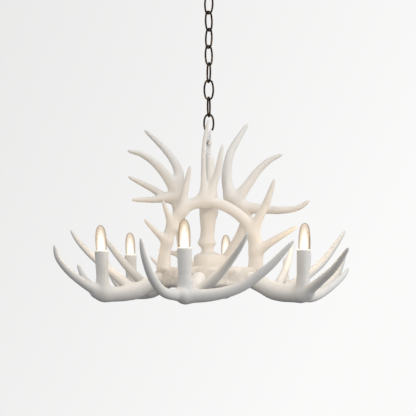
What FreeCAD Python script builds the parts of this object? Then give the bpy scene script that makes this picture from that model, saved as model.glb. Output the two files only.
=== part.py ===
import FreeCAD, Part
import math
import os

# Antler chandelier hung on a chain: cast resin antlers bolted round a hub, six candle lamps.
# Origin: centre of the ceiling face of the canopy.  +Z is up, so the whole light hangs below zero.
# Front is -Y.  All lengths are millimetres and all angles degrees.

V = FreeCAD.Vector

# ------------------------------------------------------------------ ceiling fixing
canopy_radius = 60.0
canopy_depth = 26.0
canopy_wall = 1.5
canopy_sides = 20
canopy_profile = [(0.0, 1.0), (0.15, 1.0), (0.62, 0.82), (0.92, 0.35), (1.0, 0.24)]
# shares of the canopy's depth and radius, from the ceiling down
bracket_length = 108.0
bracket_width = 20.0
bracket_thickness = 2.0
bracket_screw_spacing = 88.9       # between the two ceiling screws
bracket_hole = 2.6                 # radius
nipple_radius = 5.0
nipple_wall = 1.5
locknut_radius = 9.0
locknut_height = 4.0
collar_radius = 9.0
collar_height = 14.0
loop_radius = 9.0                  # centre line of the loop under the collar
loop_wire = 2.4                    # radius
loop_sink = 1.0                    # its top lies this far inside the collar

# ------------------------------------------------------------------ chain
link_length = 50.5                 # outside
link_width = 26.0                  # outside
link_wire = 2.25                   # radius
link_end_radius = 8.5              # centre line of the round ends
link_turns = [-30.0, 45.0, -48.0, 42.0, 110.0, 0.0, 75.0]   # about the vertical, top link first
loop_turn = 62.0
ring_length = 47.0                 # the open ring at the foot of the chain, outside
ring_width = 27.0
ring_gap = 1.2                     # between its cut ends
ring_gap_angle = -38.0             # from straight down, towards +X, seen from the front
wire_sides = 6
turned_sides = 16                  # of the collar and the washer
end_steps = 6                      # flats round each end of a link
side_steps = 2                     # flats along each side
seat_gap = 0.3                     # between two parts that rest on each other and move

# ------------------------------------------------------------------ hanger
strap_width = 12.0
strap_thickness = 2.0
strap_inner_gap = 12.0             # between its two legs
strap_bow_steps = 8
strap_height = 61.0                # from the top of the bow to the column
strap_screw_drop = 34.0            # from the top of the bow to the cross screw
strap_mark_drop = 44.5             # a small rivet hole below the screw
strap_mark = 1.2                   # radius
cross_screw = 3.0                  # shank radius
cross_screw_head = 6.0             # radius
cross_screw_head_height = 3.2
cross_nut_radius = 6.2             # across corners / 2
cross_nut_height = 4.5
bore_clearance = 0.25              # round a shank in its hole
bolt_sides = 8                     # of every bolt's shank and its hole
tongue_height = 37.0               # flat head of the tie rod, above the column
tie_rod = 5.0                      # radius
tie_rod_clearance = 0.6

# ------------------------------------------------------------------ column, hub
column_top_height = 318.0          # above the underside of the hub
column_sides = 12
column_profile = [                 # height above the hub top, radius, sideways lean
    (0.0, 36.0, 0.0), (27.0, 36.5, 0.0), (31.5, 31.0, 0.0), (33.0, 16.5, 0.0),
    (41.0, 14.0, -2.5), (49.0, 17.5, -4.0), (57.0, 21.5, -4.5), (65.0, 18.0, -5.0),
    (76.0, 16.0, -5.0), (100.0, 17.4, -4.0), (131.0, 20.8, -2.2), (150.0, 21.8, -1.0),
    (196.0, 18.5, 0.0), (240.0, 14.0, 0.0), (262.0, 12.0, 0.0)]
column_top_radius = 9.6
hub_radius = 128.0
hub_height = 48.0
hub_edge = 7.0                     # bevel of its rims
hub_top_wall = 12.0
hub_cavity_radius = 76.0
hub_cavity_shift = (5.0, 12.0)      # cored off centre, so that the light hangs level
hub_sides = 20
pad_distance = 121.0               # flat seats of the arms, from the axis
spot_face_distance = 88.0          # flat seats of the bolt heads, from the axis
spot_face_width = 26.0
spot_face_inner = 38.0             # where they start, inside the cavity
hub_notch_size = 8.0               # three-sided hollows between the arms
hub_notch_depth = 7.0
hub_notch_height = 16.3            # their deepest point, above the underside
hub_knuckle_angle = 34.0           # a round knuckle beside the right arm
hub_knuckle_radius = 9.0
hub_knuckle_height = 17.3
hub_knuckle_reach = 4.5
hub_knuckle_root = 0.5             # its back lies this far inside the hub
cover_radius = 90.0
cover_thickness = 2.0
cover_hole = 5.6
cap_nut_radius = 10.0              # across corners / 2
cap_nut_height = 14.0
cap_nut_hex_share = 0.6            # of its height; the rest is its dome
rod_in_nut_share = 0.7             # of the cap nut's height
washer_radius = 15.0
washer_thickness = 2.0

# ------------------------------------------------------------------ lower arms
arm_angles = {"front": -11.0, "right": 52.6, "rear_right_side": 111.5,
              "rear": 169.8, "rear_left_side": -128.5, "left": -68.8}
candle_distance = 262.0            # from the axis to the middle of each candle
beam_dip = -15.0                   # middle of the arm under the candle
# Middle line of an arm: distance from the axis, height above the hub's underside, radius.
beam_line = [(pad_distance, 18.0, 17.5), (pad_distance + 28.0, 6.0, 17.2),
             (candle_distance - 78.0, beam_dip + 6.0, 18.2),
             (candle_distance - 38.0, beam_dip, 17.9), (candle_distance, beam_dip, 16.1),
             (candle_distance + 13.0, beam_dip + 2.0, 9.6)]
beam_sides = 9
candle_lean = 2.5                  # outwards
candle_top_height = 84.0
candle_radius = 15.5
candle_waist_radius = 13.8
# Below its top, with its radius: foot inside the arm, waist, body and rim.
candle_profile = [(beam_dip - candle_top_height, candle_waist_radius + 2.0),
                  (-79.0, candle_waist_radius + 1.6), (-60.0, candle_waist_radius),
                  (-1.6, candle_radius), (0.0, candle_radius - 0.9)]
candle_sides = 10
candle_bore = 13.2                 # corner radius
candle_bore_depth = 62.0
bore_past = 1.0                    # how far its cutter runs past the candle's top
fork = (256.0, 0.0, beam_dip)      # where the outer tine and the long sweep leave the arm
side_root = (183.0, 10.5, -8.0)    # where the side tine leaves it
left_handed = ("left",)            # its side tine leaves on the other side
# The three tines of each arm, from the first bend to the tip: outwards, sideways, height.
arm_tines = {
    "front": {"outer": [(306, -29, -9), (345, -44, 18), (378, -52, 59), (393, -55, 94)],
              "side": [(199, 33, 4), (233, 75, 39), (269, 112, 78), (291, 134, 108)],
              "sweep": [(251, 52, -14), (248, 113, 2), (251, 170, 41), (256, 222, 94)]},
    "right": {"outer": [(272, -3, -8), (316, -16, 19), (354, -31, 44), (396, -54, 81)],
              "side": [(201, 31, -1), (235, 69, 31), (262, 98, 66), (293, 133, 129)],
              "sweep": [(249, 60, -20), (247, 125, -7), (253, 192, 22), (257, 222, 45)]},
    "rear_right_side": {"outer": [(300, -9, -6), (346, -12, 28), (373, -11, 83)],
                        "side": [(201, 31, 3), (252, 82, 52), (297, 129, 125)],
                        "sweep": [(258, 60, -12), (272, 122, 18), (290, 166, 78)]},
    "rear": {"outer": [(306, -29, -9), (352, -46, 26), (393, -58, 85)],
             "side": [(199, 32, 3), (249, 85, 53), (291, 128, 114)],
             "sweep": [(250, 56, -14), (248, 128, 8), (257, 211, 82)]},
    "rear_left_side": {"outer": [(302, -12, -8), (350, -20, 28), (383, -22, 87)],
                       "side": [(196, 28, 14), (225, 58, 58), (268, 95, 128)],
                       "sweep": [(251, 50, -15), (252, 98, 0), (262, 138, 37)]},
    "left": {"outer": [(296, 7, 5), (337, 18, 34), (365, 27, 65), (373, 30, 92)],
             "side": [(215, -46, 26), (257, -96, 71), (285, -128, 106), (303, -149, 138)],
             "sweep": [(251, -60, -15), (256, -130, 1), (264, -186, 25), (271, -223, 55)]},
}
tine_radii = {"outer": 11.5, "side": 12.5, "sweep": 14.0}
tine_sides = 7
tine_tip = 2.2                     # radius of a tine's end
tine_fullness = 0.5                # power of its taper: under 1 it stays thick for longer
flare_reach = 0.45                 # share of a tine over which its root widens
arm_flare = 2.0                    # how much wider the root is
arm_bolt = 4.0                     # shank radius
arm_bolt_head = 7.5                # across corners / 2
arm_bolt_head_height = 5.5
arm_bolt_grip = 24.0               # length inside the arm
arm_bolt_height = beam_line[0][1]
bolt_end_room = 2.0                # free depth past the end of a bolt
bolt_head_room = 2.0               # free radius round the head of a foot bolt

# ------------------------------------------------------------------ upper antlers
# Each has a leg, given by points above the hub's underside, with its radius along it, and tines:
# their points from root to tip, radius, how much wider the root is, radius of the end.
upper_antlers = {
    "front_left": {
        "leg": [(-106, -40), (-102, -42, 88), (-94, -45, 120), (-80, -48, 155), (-53, -49, 187),
                (-12, -48, 204)],
        "radii": (17.0, 12.8, 12.6, 12.6, 12.6, 13.2),
        "tines": [([(-96, -45, 107), (-114, -54, 121), (-130, -61, 137), (-148, -68, 156)],
                   8.5, 3.0, 2.2),
                  ([(-82, -48, 140), (-92, -54, 160), (-106, -66, 199)], 8.0, 3.0, 2.2),
                  ([(-62, -49, 178), (-59, -53, 208), (-51, -60, 245), (-43, -66, 280)],
                   9.5, 3.0, 2.2),
                  ([(-14, -47, 200), (-9, -50, 232), (-11, -54, 270), (-8, -59, 330),
                    (-2, -64, 387)], 9.5, 5.0, 2.2),
                  ([(0, -46, 204), (9, -50, 234), (20, -54, 268), (32, -62, 330)],
                   10.0, 6.0, 2.2)]},
    "front_right": {
        "leg": [(110, -40), (110, -42, 88), (102, -45, 130), (76, -47, 165), (44, -47, 187),
                (21, -46, 196)],
        "radii": (18.0, 15.5, 15.0, 13.5, 12.0, 10.5),
        "tines": [([(100, -45, 130), (118, -54, 164), (135, -63, 200), (151, -74, 248)],
                   12.0, 4.0, 2.2),
                  ([(110, -43, 84), (133, -52, 98), (160, -63, 115), (203, -80, 140)],
                   10.5, 4.0, 2.2)]},
    "rear_left": {
        "leg": [(-57, 60), (-66, 57, 118), (-74, 52, 179), (-75, 49, 224), (-76, 50, 258)],
        "radii": (18.0, 14.5, 14.5, 14.5, 12.5),
        "tines": [([(-76, 50, 246), (-75, 58, 285), (-93, 65, 323), (-123, 72, 358),
                    (-159, 80, 392)], 12.0, 3.0, 2.6),
                  ([(-75, 49, 226), (-100, 41, 267), (-131, 33, 303), (-163, 27, 324),
                    (-195, 22, 331)], 13.5, 3.0, 2.6),
                  ([(-76, 49, 216), (-110, 41, 223), (-139, 35, 241), (-194, 22, 268)],
                   10.5, 3.0, 2.4),
                  ([(-76, 48, 222), (-98, 38, 219), (-133, 22, 213), (-182, 2, 210)],
                   10.5, 3.0, 2.4),
                  ([(-58, 60, 70), (-78, 57, 81), (-122, 50, 92)], 6.5, 2.0, 2.2)]},
    "rear_right": {
        "leg": [(33, 64), (58, 60, 90), (81, 56, 130), (92, 53, 167), (80, 49, 199),
                (54, 47, 224)],
        "radii": (18.0, 14.5, 14.0, 14.0, 15.0, 12.0),
        "tines": [([(52, 47, 222), (44, 54, 270), (48, 61, 311), (61, 68, 349), (97, 78, 408)],
                   13.5, 2.0, 2.6),
                  ([(66, 48, 212), (93, 42, 248), (119, 37, 283), (147, 32, 309),
                    (178, 28, 324)], 12.5, 4.0, 2.6),
                  ([(87, 46, 196), (125, 35, 192), (173, 21, 187), (214, 8, 191),
                    (240, 0, 207)], 12.5, 3.0, 2.6)]},
}
foot_bolt = 4.0
foot_bolt_head = 7.5
foot_bolt_head_height = 5.5
foot_bolt_grip = 26.0

# ------------------------------------------------------------------ lamps
bulb_profile = [(-20.0, 7.2), (0.0, 11.8), (16.0, 12.7), (33.0, 12.5), (45.0, 10.9),
                (53.0, 7.9), (58.0, 2.8)]          # height above the candle's top, radius
bulb_hollow = [(0.0, 11.8), (24.0, 12.5), (45.0, 10.9)]     # the same, before its wall
bulb_wall = 0.9
bulb_cap_radius = 7.0
bulb_cap_length = 22.0
bulb_contact_radius = 4.0
bulb_contact_height = 3.4
bulb_contact_flare = 0.4
holder_radius = 12.7
holder_bore = 7.6
holder_top_drop = 21.5             # below the candle's top

# ------------------------------------------------------------------ wiring
terminal_size = (46.0, 18.0, 14.0)
terminal_place = (0.0, 52.0)
terminal_ways = 3
terminal_pitch = 12.8
terminal_screw = 2.0               # radius of each screw's well
terminal_screw_depth = 6.0


# ================================================================== shape helpers
def ring(centre, direction, side, radius, sides):
    """Corners of a flat polygon square to a direction, the first one towards side."""
    d = V(direction)
    d.normalize()
    x = side - d * side.dot(d)
    x.normalize()
    y = d.cross(x)
    step = 2 * math.pi / sides
    return [centre + x * (radius * math.cos(step * k)) + y * (radius * math.sin(step * k))
            for k in range(sides)]


def facet(*corners):
    return Part.Face(Part.makePolygon(list(corners) + [corners[0]]))


def skin(rings):
    """Closed solid through a row of rings with the same number of corners."""
    count = len(rings[0])
    faces = [facet(*reversed(rings[0])), facet(*rings[-1])]
    for low, high in zip(rings, rings[1:]):
        for k in range(count):
            n = (k + 1) % count
            faces.append(facet(low[k], low[n], high[k]))
            faces.append(facet(low[n], high[n], high[k]))
    solid = Part.makeSolid(Part.makeShell(faces))
    if solid.Volume < 0:
        solid.reverse()
    return solid


def closed_skin(rings):
    """Solid tube that runs back into itself through a row of rings."""
    faces = []
    count = len(rings[0])
    for low, high in zip(rings, rings[1:] + rings[:1]):
        for k in range(count):
            n = (k + 1) % count
            faces.append(facet(low[k], low[n], high[k]))
            faces.append(facet(low[n], high[n], high[k]))
    solid = Part.makeSolid(Part.makeShell(faces))
    if solid.Volume < 0:
        solid.reverse()
    return solid


def taper(points, radii, sides, first_direction=None):
    """Solid limb through the points, each ring square to the limb there and not twisted."""
    last = len(points) - 1
    rings = []
    side = None
    for k, point in enumerate(points):
        direction = points[min(k + 1, last)] - points[max(k - 1, 0)]
        if k == 0 and first_direction is not None:
            direction = first_direction
        if side is None:
            side = V(0, 0, 1) if abs(direction.z) < 0.7 * direction.Length else V(1, 0, 0)
        corners = ring(point, direction, side, radii[k], sides)
        side = corners[0] - point
        rings.append(corners)
    return skin(rings)


def along(points, stations):
    """Points of a smooth curve through the given ones, at shares of its length."""
    curve = Part.BSplineCurve()
    curve.interpolate(points)
    first, last = curve.FirstParameter, curve.LastParameter
    return [curve.value(first + (last - first) * share) for share in stations]


tine_stations = (0.0, 0.18, 0.4, 0.64, 0.87, 1.0)


def tine(points, radius, flare, tip_radius=tine_tip):
    """A tine through its points, from the root to the tip."""
    centres = along([V(*point) for point in points], tine_stations)
    radii = []
    for u in tine_stations:
        widening = flare * max(0.0, 1.0 - u / flare_reach) ** 2
        radii.append(tip_radius + (radius - tip_radius) * (1.0 - u) ** tine_fullness + widening)
    return taper(centres, radii, tine_sides)


def upright(profile, sides, centre_x=0.0):
    """Turned form of flat sides: pairs of height and radius, with an optional lean."""
    rings = []
    for entry in profile:
        lean = entry[2] if len(entry) > 2 else 0.0
        rings.append(ring(V(centre_x + lean, 0, entry[0]), V(0, 0, 1), V(1, 0, 0), entry[1], sides))
    return skin(rings)


def prism(corner_radius, height, sides, base):
    return upright([(base, corner_radius), (base + height, corner_radius)], sides)


def cylinder(radius, height, base, direction=V(0, 0, 1), sides=0):
    """Round bar, or the cutter of a round hole, of enough flat sides for its size."""
    sides = sides or (12 if radius < 8 else 24)
    side = V(1, 0, 0) if abs(direction.z) > 0.5 else V(0, 0, 1)
    far = base + direction * height
    return skin([ring(base, direction, side, radius, sides), ring(far, direction, side, radius, sides)])


def write(shape, name):
    os.makedirs("parts", exist_ok=True)
    shape.exportStep("parts/%s.step" % name)
    print("%-28s solids %d  volume %9.0f" % (name, len(shape.Solids), shape.Volume))


# ================================================================== heights, from the ceiling down
collar_bottom = -canopy_depth - collar_height
loop_bottom = collar_bottom - 2 * loop_radius + loop_sink   # centre of its lowest wire
link_reach = link_length - 2 * link_wire                  # between the wires of its two ends
wire_step = 2 * link_wire + seat_gap
first_link_top = loop_bottom + loop_wire + link_wire + seat_gap
link_bottoms = [first_link_top - link_reach - k * (link_reach - wire_step)
                for k in range(len(link_turns))]
ring_top = link_bottoms[-1] + wire_step
ring_bottom = ring_top - (ring_length - 2 * link_wire)
ring_end_radius = ring_width / 2 - link_wire
ring_rise = ring_end_radius - math.sqrt(ring_end_radius ** 2 - (strap_width / 2) ** 2)
ring_half = link_wire * ring_end_radius / (ring_end_radius - ring_rise)
strap_inside_top = ring_bottom + ring_rise + ring_half + seat_gap
strap_top = strap_inside_top + strap_thickness
column_top = strap_top - strap_height
datum = column_top - column_top_height                    # underside of the hub
hub_top = datum + hub_height


# ================================================================== chain and ceiling
def arc_points(centre, radius, first, last, steps):
    """Points of an arc in the XZ plane, without its last one; angles from +X towards +Z."""
    angles = [first + (last - first) * k / steps for k in range(steps)]
    return [centre + V(radius * math.cos(angle), 0, radius * math.sin(angle)) for angle in angles]


def oval_points(length, width, end_radius):
    """Centre line of a link: two round ends and two slightly bowed or straight sides."""
    half = length / 2 - link_wire
    wide = width / 2 - link_wire
    centre = half - end_radius
    slack = wide - end_radius
    lean = 0.0
    if slack > 0.01:
        offset = (centre ** 2 - slack ** 2) / (2 * slack)
        lean = math.atan2(centre, offset)
    points = []
    for turn in (0.0, math.pi):
        flip = 1 if turn == 0.0 else -1
        points += arc_points(V(0, 0, flip * centre), end_radius, turn + lean,
                             turn + math.pi - lean, end_steps)
        if slack > 0.01:
            points += arc_points(V(flip * offset, 0, 0), offset + wide, turn + math.pi - lean,
                                 turn + math.pi + lean, side_steps)
        else:
            points.append(V(-flip * wide, 0, flip * centre))
    return points


def bent_wire(points, radius):
    """Wire with flat sides along a closed row of points in the XZ plane."""
    rings = []
    for k, point in enumerate(points):
        tangent = points[(k + 1) % len(points)] - points[k - 1]
        rings.append(ring(point, tangent, V(0, 1, 0), radius, wire_sides))
    return closed_skin(rings)


def chain_link(length, width, end_radius, bottom, turn):
    body = bent_wire(oval_points(length, width, end_radius), link_wire)
    body.translate(V(0, 0, bottom + length / 2 - link_wire))
    body.rotate(V(0, 0, 0), V(0, 0, 1), turn)
    return body


def open_ring():
    body = bent_wire(oval_points(ring_length, ring_width, ring_end_radius), link_wire)
    cut = Part.makeBox(ring_gap, 4 * link_wire, 4 * link_wire,
                       V(-ring_gap / 2, -2 * link_wire, -ring_end_radius - 2 * link_wire))
    cut.rotate(V(0, 0, 0), V(0, 1, 0), ring_gap_angle)
    cut.translate(V(0, 0, -(ring_length / 2 - ring_width / 2)))
    body = body.cut(cut)
    body.translate(V(0, 0, ring_bottom + ring_length / 2 - link_wire))
    return body


def ceiling_parts():
    hole_x = bracket_screw_spacing / 2
    bracket = Part.makeBox(bracket_length, bracket_width, bracket_thickness,
                           V(-bracket_length / 2, -bracket_width / 2, -bracket_thickness))
    bracket = bracket.cut(cylinder(nipple_radius, bracket_thickness, V(0, 0, -bracket_thickness)))
    for x in (-hole_x, hole_x):
        bracket = bracket.cut(Part.makeCylinder(bracket_hole, bracket_thickness,
                                                V(x, 0, -bracket_thickness)))
    write(bracket, "ceiling_bracket")

    outside = [(-depth * canopy_depth, share * canopy_radius) for depth, share in canopy_profile]
    inside = [(height + (canopy_wall if height < 0 else 0.0), radius - canopy_wall)
              for height, radius in outside]
    canopy = upright(outside[::-1], canopy_sides).cut(upright(inside[::-1], canopy_sides))
    canopy = canopy.cut(cylinder(nipple_radius + bore_clearance, canopy_depth, V(0, 0, -canopy_depth)))
    write(canopy, "canopy")

    nipple_end = -canopy_depth - collar_height / 2
    nipple = cylinder(nipple_radius, -nipple_end, V(0, 0, nipple_end))
    nipple = nipple.cut(cylinder(nipple_radius - nipple_wall, -nipple_end, V(0, 0, nipple_end)))
    write(nipple, "canopy_nipple")
    locknut = prism(locknut_radius, locknut_height, 6, -bracket_thickness - locknut_height)
    locknut = locknut.cut(cylinder(nipple_radius, locknut_height,
                                   V(0, 0, -bracket_thickness - locknut_height)))
    write(locknut, "nipple_locknut")

    collar = cylinder(collar_radius, collar_height, V(0, 0, collar_bottom), sides=turned_sides)
    centre = V(0, 0, loop_bottom + loop_radius)
    loop = bent_wire(arc_points(centre, loop_radius, 0.0, 2 * math.pi, 2 * end_steps), loop_wire)
    loop.rotate(V(0, 0, 0), V(0, 0, 1), loop_turn)
    collar = collar.cut(cylinder(nipple_radius, collar_height / 2,
                                 V(0, 0, collar_bottom + collar_height / 2)))
    write(collar.fuse(loop), "canopy_loop")


def hanging_chain():
    for k, turn in enumerate(link_turns):
        body = chain_link(link_length, link_width, link_end_radius, link_bottoms[k], turn)
        write(body, "chain_link_%d" % (k + 1))
    write(open_ring(), "chain_open_ring")


# ================================================================== hanger
def hanger_parts():
    bow_inside = strap_inner_gap / 2
    bow_centre = strap_inside_top - bow_inside
    outside = bow_inside + strap_thickness
    bow = [math.pi * k / strap_bow_steps for k in range(strap_bow_steps + 1)]
    profile = [V(0, outside * math.cos(angle), bow_centre + outside * math.sin(angle)) for angle in bow]
    profile += [V(0, -outside, column_top), V(0, -bow_inside, column_top)]
    profile += [V(0, -bow_inside * math.cos(angle), bow_centre + bow_inside * math.sin(angle))
                for angle in bow]
    profile += [V(0, bow_inside, column_top), V(0, outside, column_top)]
    strap = Part.Face(Part.makePolygon(profile + [profile[0]])).extrude(V(strap_width, 0, 0))
    strap.translate(V(-strap_width / 2, 0, 0))
    screw_height = strap_top - strap_screw_drop
    through = cylinder(cross_screw + bore_clearance, 2 * outside, V(0, -outside, screw_height),
                       V(0, 1, 0))
    mark = cylinder(strap_mark, strap_thickness, V(0, -outside, strap_top - strap_mark_drop),
                    V(0, 1, 0))
    write(strap.cut(through).cut(mark), "hanger_strap")

    head = cylinder(cross_screw_head, cross_screw_head_height,
                    V(0, -outside - cross_screw_head_height, screw_height), V(0, 1, 0))
    shank = cylinder(cross_screw, 2 * outside + cross_nut_height, V(0, -outside, screw_height),
                     V(0, 1, 0))
    write(head.fuse(shank), "hanger_screw")
    nut = prism(cross_nut_radius, cross_nut_height, 6, 0)
    nut = nut.cut(cylinder(cross_screw, cross_nut_height, V(0, 0, 0)))
    nut.rotate(V(0, 0, 0), V(1, 0, 0), -90)
    nut.translate(V(0, outside, screw_height))
    write(nut, "hanger_nut")

    rod_bottom = datum - washer_thickness - rod_in_nut_share * cap_nut_height
    rod = cylinder(tie_rod, column_top - rod_bottom, V(0, 0, rod_bottom))
    tongue = Part.makeBox(strap_width, strap_inner_gap, tongue_height,
                          V(-strap_width / 2, -strap_inner_gap / 2, column_top))
    write(rod.fuse(tongue).cut(through), "tie_rod")

    washer = cylinder(washer_radius, washer_thickness, V(0, 0, datum - washer_thickness),
                      sides=turned_sides)
    write(washer.cut(cylinder(tie_rod + bore_clearance, washer_thickness,
                              V(0, 0, datum - washer_thickness))), "tie_rod_washer")
    nut_bottom = datum - washer_thickness - cap_nut_height
    hex_height = cap_nut_hex_share * cap_nut_height
    dome_height = cap_nut_height - hex_height
    cap_nut = prism(cap_nut_radius, hex_height, 6, nut_bottom + dome_height)
    dome = upright([(nut_bottom, 0.35 * cap_nut_radius),
                    (nut_bottom + 0.3 * dome_height, 0.62 * cap_nut_radius),
                    (nut_bottom + dome_height, 0.82 * cap_nut_radius)], 12)
    bore = cylinder(tie_rod, datum - washer_thickness - rod_bottom, V(0, 0, rod_bottom))
    write(cap_nut.fuse(dome).cut(bore), "cap_nut")


# ================================================================== column and hub
def column():
    profile = [(hub_top + height, radius, lean) for height, radius, lean in column_profile]
    profile.append((column_top, column_top_radius, 0.0))
    body = upright(profile, column_sides)
    bore = cylinder(tie_rod + tie_rod_clearance, column_top - hub_top, V(0, 0, hub_top))
    write(body.cut(bore), "column")


def turn_to(shape, angle):
    """Turn a piece that was made pointing along +X to its place round the hub."""
    shape.rotate(V(0, 0, 0), V(0, 0, 1), angle - 90.0)
    return shape


def hub():
    body = upright([(datum, hub_radius - hub_edge), (datum + hub_edge, hub_radius),
                    (hub_top - hub_edge, hub_radius), (hub_top, hub_radius - hub_edge)], hub_sides)
    cavity_height = hub_height - hub_top_wall - cover_thickness
    cavity = prism(hub_cavity_radius, cavity_height, hub_sides, datum + cover_thickness)
    cavity.translate(V(*hub_cavity_shift, 0))
    body = body.cut(cavity)
    body = body.cut(prism(cover_radius, cover_thickness, hub_sides, datum))
    body = body.cut(cylinder(tie_rod + tie_rod_clearance, hub_height, V(0, 0, datum)))
    far = 2 * hub_radius
    seat_height = datum + arm_bolt_height
    for angle in arm_angles.values():
        seat = Part.makeBox(far, 2 * far, 2 * hub_height, V(pad_distance, -far, datum - hub_height / 2))
        body = body.cut(turn_to(seat, angle))
        spot = Part.makeBox(spot_face_distance - spot_face_inner, spot_face_width, spot_face_width,
                            V(spot_face_inner, -spot_face_width / 2,
                              seat_height - spot_face_width / 2))
        body = body.cut(turn_to(spot, angle))
        hole = cylinder(arm_bolt + bore_clearance, hub_radius, V(spot_face_inner, 0, seat_height),
                        V(1, 0, 0), bolt_sides)
        body = body.cut(turn_to(hole, angle))
    angles = sorted(arm_angles.values())
    for near, away in zip(angles, angles[1:] + [angles[0] + 360.0]):
        tip = V(hub_radius - hub_notch_depth, 0, datum + hub_notch_height)
        mouth = hub_radius + 0.1 * hub_notch_size
        corners = [V(mouth, -hub_notch_size, tip.z + 0.6 * hub_notch_size),
                   V(mouth, hub_notch_size, tip.z + 0.6 * hub_notch_size),
                   V(mouth, 0.2 * hub_notch_size, tip.z - hub_notch_size)]
        notch = Part.makeSolid(Part.makeShell([facet(*corners), facet(corners[0], tip, corners[1]),
                                               facet(corners[1], tip, corners[2]),
                                               facet(corners[2], tip, corners[0])]))
        if notch.Volume < 0:
            notch.reverse()
        body = body.cut(turn_to(notch, (near + away) / 2))
    for antler in upper_antlers.values():
        x, y = antler["leg"][0]
        body = body.cut(cylinder(foot_bolt + bore_clearance, hub_height, V(x, y, datum),
                                 sides=bolt_sides))
        body = body.cut(cylinder(foot_bolt_head + bolt_head_room, hub_height - hub_top_wall,
                                 V(x, y, datum), sides=bolt_sides))
    knuckle = upright([(0, hub_knuckle_radius), (0.7 * hub_knuckle_reach, 0.8 * hub_knuckle_radius),
                       (hub_knuckle_reach, 0.4 * hub_knuckle_radius)], 10)
    knuckle.rotate(V(0, 0, 0), V(0, 1, 0), 90)
    knuckle.translate(V(pad_distance - hub_knuckle_root, 0, datum + hub_knuckle_height))
    write(body.fuse(turn_to(knuckle, hub_knuckle_angle)), "hub")

    cover = prism(cover_radius, cover_thickness, hub_sides, datum)
    cover = cover.cut(cylinder(cover_hole, cover_thickness, V(0, 0, datum)))
    for antler in upper_antlers.values():
        x, y = antler["leg"][0]
        cover = cover.cut(cylinder(foot_bolt_head + bolt_head_room, cover_thickness,
                                   V(x, y, datum), sides=bolt_sides))
    write(cover, "hub_cover")

    length, width, height = terminal_size
    x, y = terminal_place
    block = Part.makeBox(length, width, height, V(x - length / 2, y - width / 2,
                                                  datum + cover_thickness))
    block_top = datum + cover_thickness + height
    for k in range(terminal_ways):
        way_x = x + (k - (terminal_ways - 1) / 2) * terminal_pitch
        block = block.cut(cylinder(terminal_screw, terminal_screw_depth,
                                   V(way_x, y, block_top - terminal_screw_depth), sides=bolt_sides))
    write(block, "terminal_block")


# ================================================================== arms
def candle_axis():
    """Foot and upward direction of the candle in the arm's own frame, pointing along +X."""
    lean = math.radians(candle_lean)
    up = V(math.sin(lean), 0, math.cos(lean))
    top = V(candle_distance, 0, datum + candle_top_height)
    return top, up


def on_candle(profile, sides):
    """Turned form on the candle's axis; heights count from the candle's top."""
    top, up = candle_axis()
    rings = [ring(top + up * height, up, V(0, 1, 0), radius, sides) for height, radius in profile]
    return skin(rings)


def arm(name):
    beam_points = [V(out, 0, datum + height) for out, height, radius in beam_line]
    beam_radii = [radius for out, height, radius in beam_line]
    body = taper(beam_points, beam_radii, beam_sides, V(1, 0, 0))
    hand = -1 if name in left_handed else 1
    limbs = []
    for kind, bends in arm_tines[name].items():
        x, y, z = side_root if kind == "side" else fork
        points = [(x, hand * y, datum + z)] + [(out, aside, datum + up) for out, aside, up in bends]
        limbs.append(tine(points, tine_radii[kind], arm_flare))
    limbs.append(on_candle(candle_profile, candle_sides))
    body = body.fuse(limbs)
    body = body.cut(on_candle([(-candle_bore_depth, candle_bore), (bore_past, candle_bore)],
                              candle_sides))
    hole = cylinder(arm_bolt + bore_clearance, arm_bolt_grip + bolt_end_room,
                    V(pad_distance, 0, datum + arm_bolt_height), V(1, 0, 0), bolt_sides)
    write(turn_to(body.cut(hole), arm_angles[name]), "arm_" + name)


def hex_bolt(radius, length, corner, head_height):
    """Bolt along +X: its head ends at zero and its shank runs from there."""
    head = prism(corner, head_height, 6, -head_height)
    body = head.fuse(cylinder(radius, length, V(0, 0, 0), sides=bolt_sides))
    body.rotate(V(0, 0, 0), V(0, 1, 0), 90)
    return body


def arm_bolts():
    bolts = []
    for angle in arm_angles.values():
        length = pad_distance - spot_face_distance + arm_bolt_grip
        bolt = hex_bolt(arm_bolt, length, arm_bolt_head, arm_bolt_head_height)
        bolt.translate(V(spot_face_distance, 0, datum + arm_bolt_height))
        bolts.append(turn_to(bolt, angle))
    write(Part.makeCompound(bolts), "arm_bolts")


def lamp(name):
    angle = arm_angles[name]
    base, base_radius = bulb_profile[0]
    socket_floor = base - bulb_cap_length - bulb_contact_height - seat_gap
    holder = on_candle([(-candle_bore_depth, holder_radius), (-holder_top_drop, holder_radius)],
                       candle_sides)
    holder = holder.cut(on_candle([(socket_floor, holder_bore), (0, holder_bore)], candle_sides))
    write(turn_to(holder, angle), "lampholder_" + name)
    glass = on_candle(bulb_profile, candle_sides)
    hollow = [(base + bulb_wall, base_radius - bulb_wall)]
    hollow += [(height, radius - bulb_wall) for height, radius in bulb_hollow]
    glass = glass.cut(on_candle(hollow, candle_sides))
    write(turn_to(glass, angle), "bulb_glass_" + name)
    cap = on_candle([(base - bulb_cap_length - bulb_contact_height, bulb_contact_radius),
                     (base - bulb_cap_length, bulb_contact_radius + bulb_contact_flare),
                     (base - bulb_cap_length, bulb_cap_radius), (base, bulb_cap_radius)],
                    candle_sides)
    write(turn_to(cap, angle), "bulb_cap_" + name)


# ================================================================== upper antlers
leg_stations = (0.0, 0.14, 0.32, 0.5, 0.67, 0.84, 1.0)


def spread(values, share):
    """Value at a share of the way along a list of evenly spaced ones."""
    place = share * (len(values) - 1)
    low = min(int(place), len(values) - 2)
    return values[low] + (values[low + 1] - values[low]) * (place - low)


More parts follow.
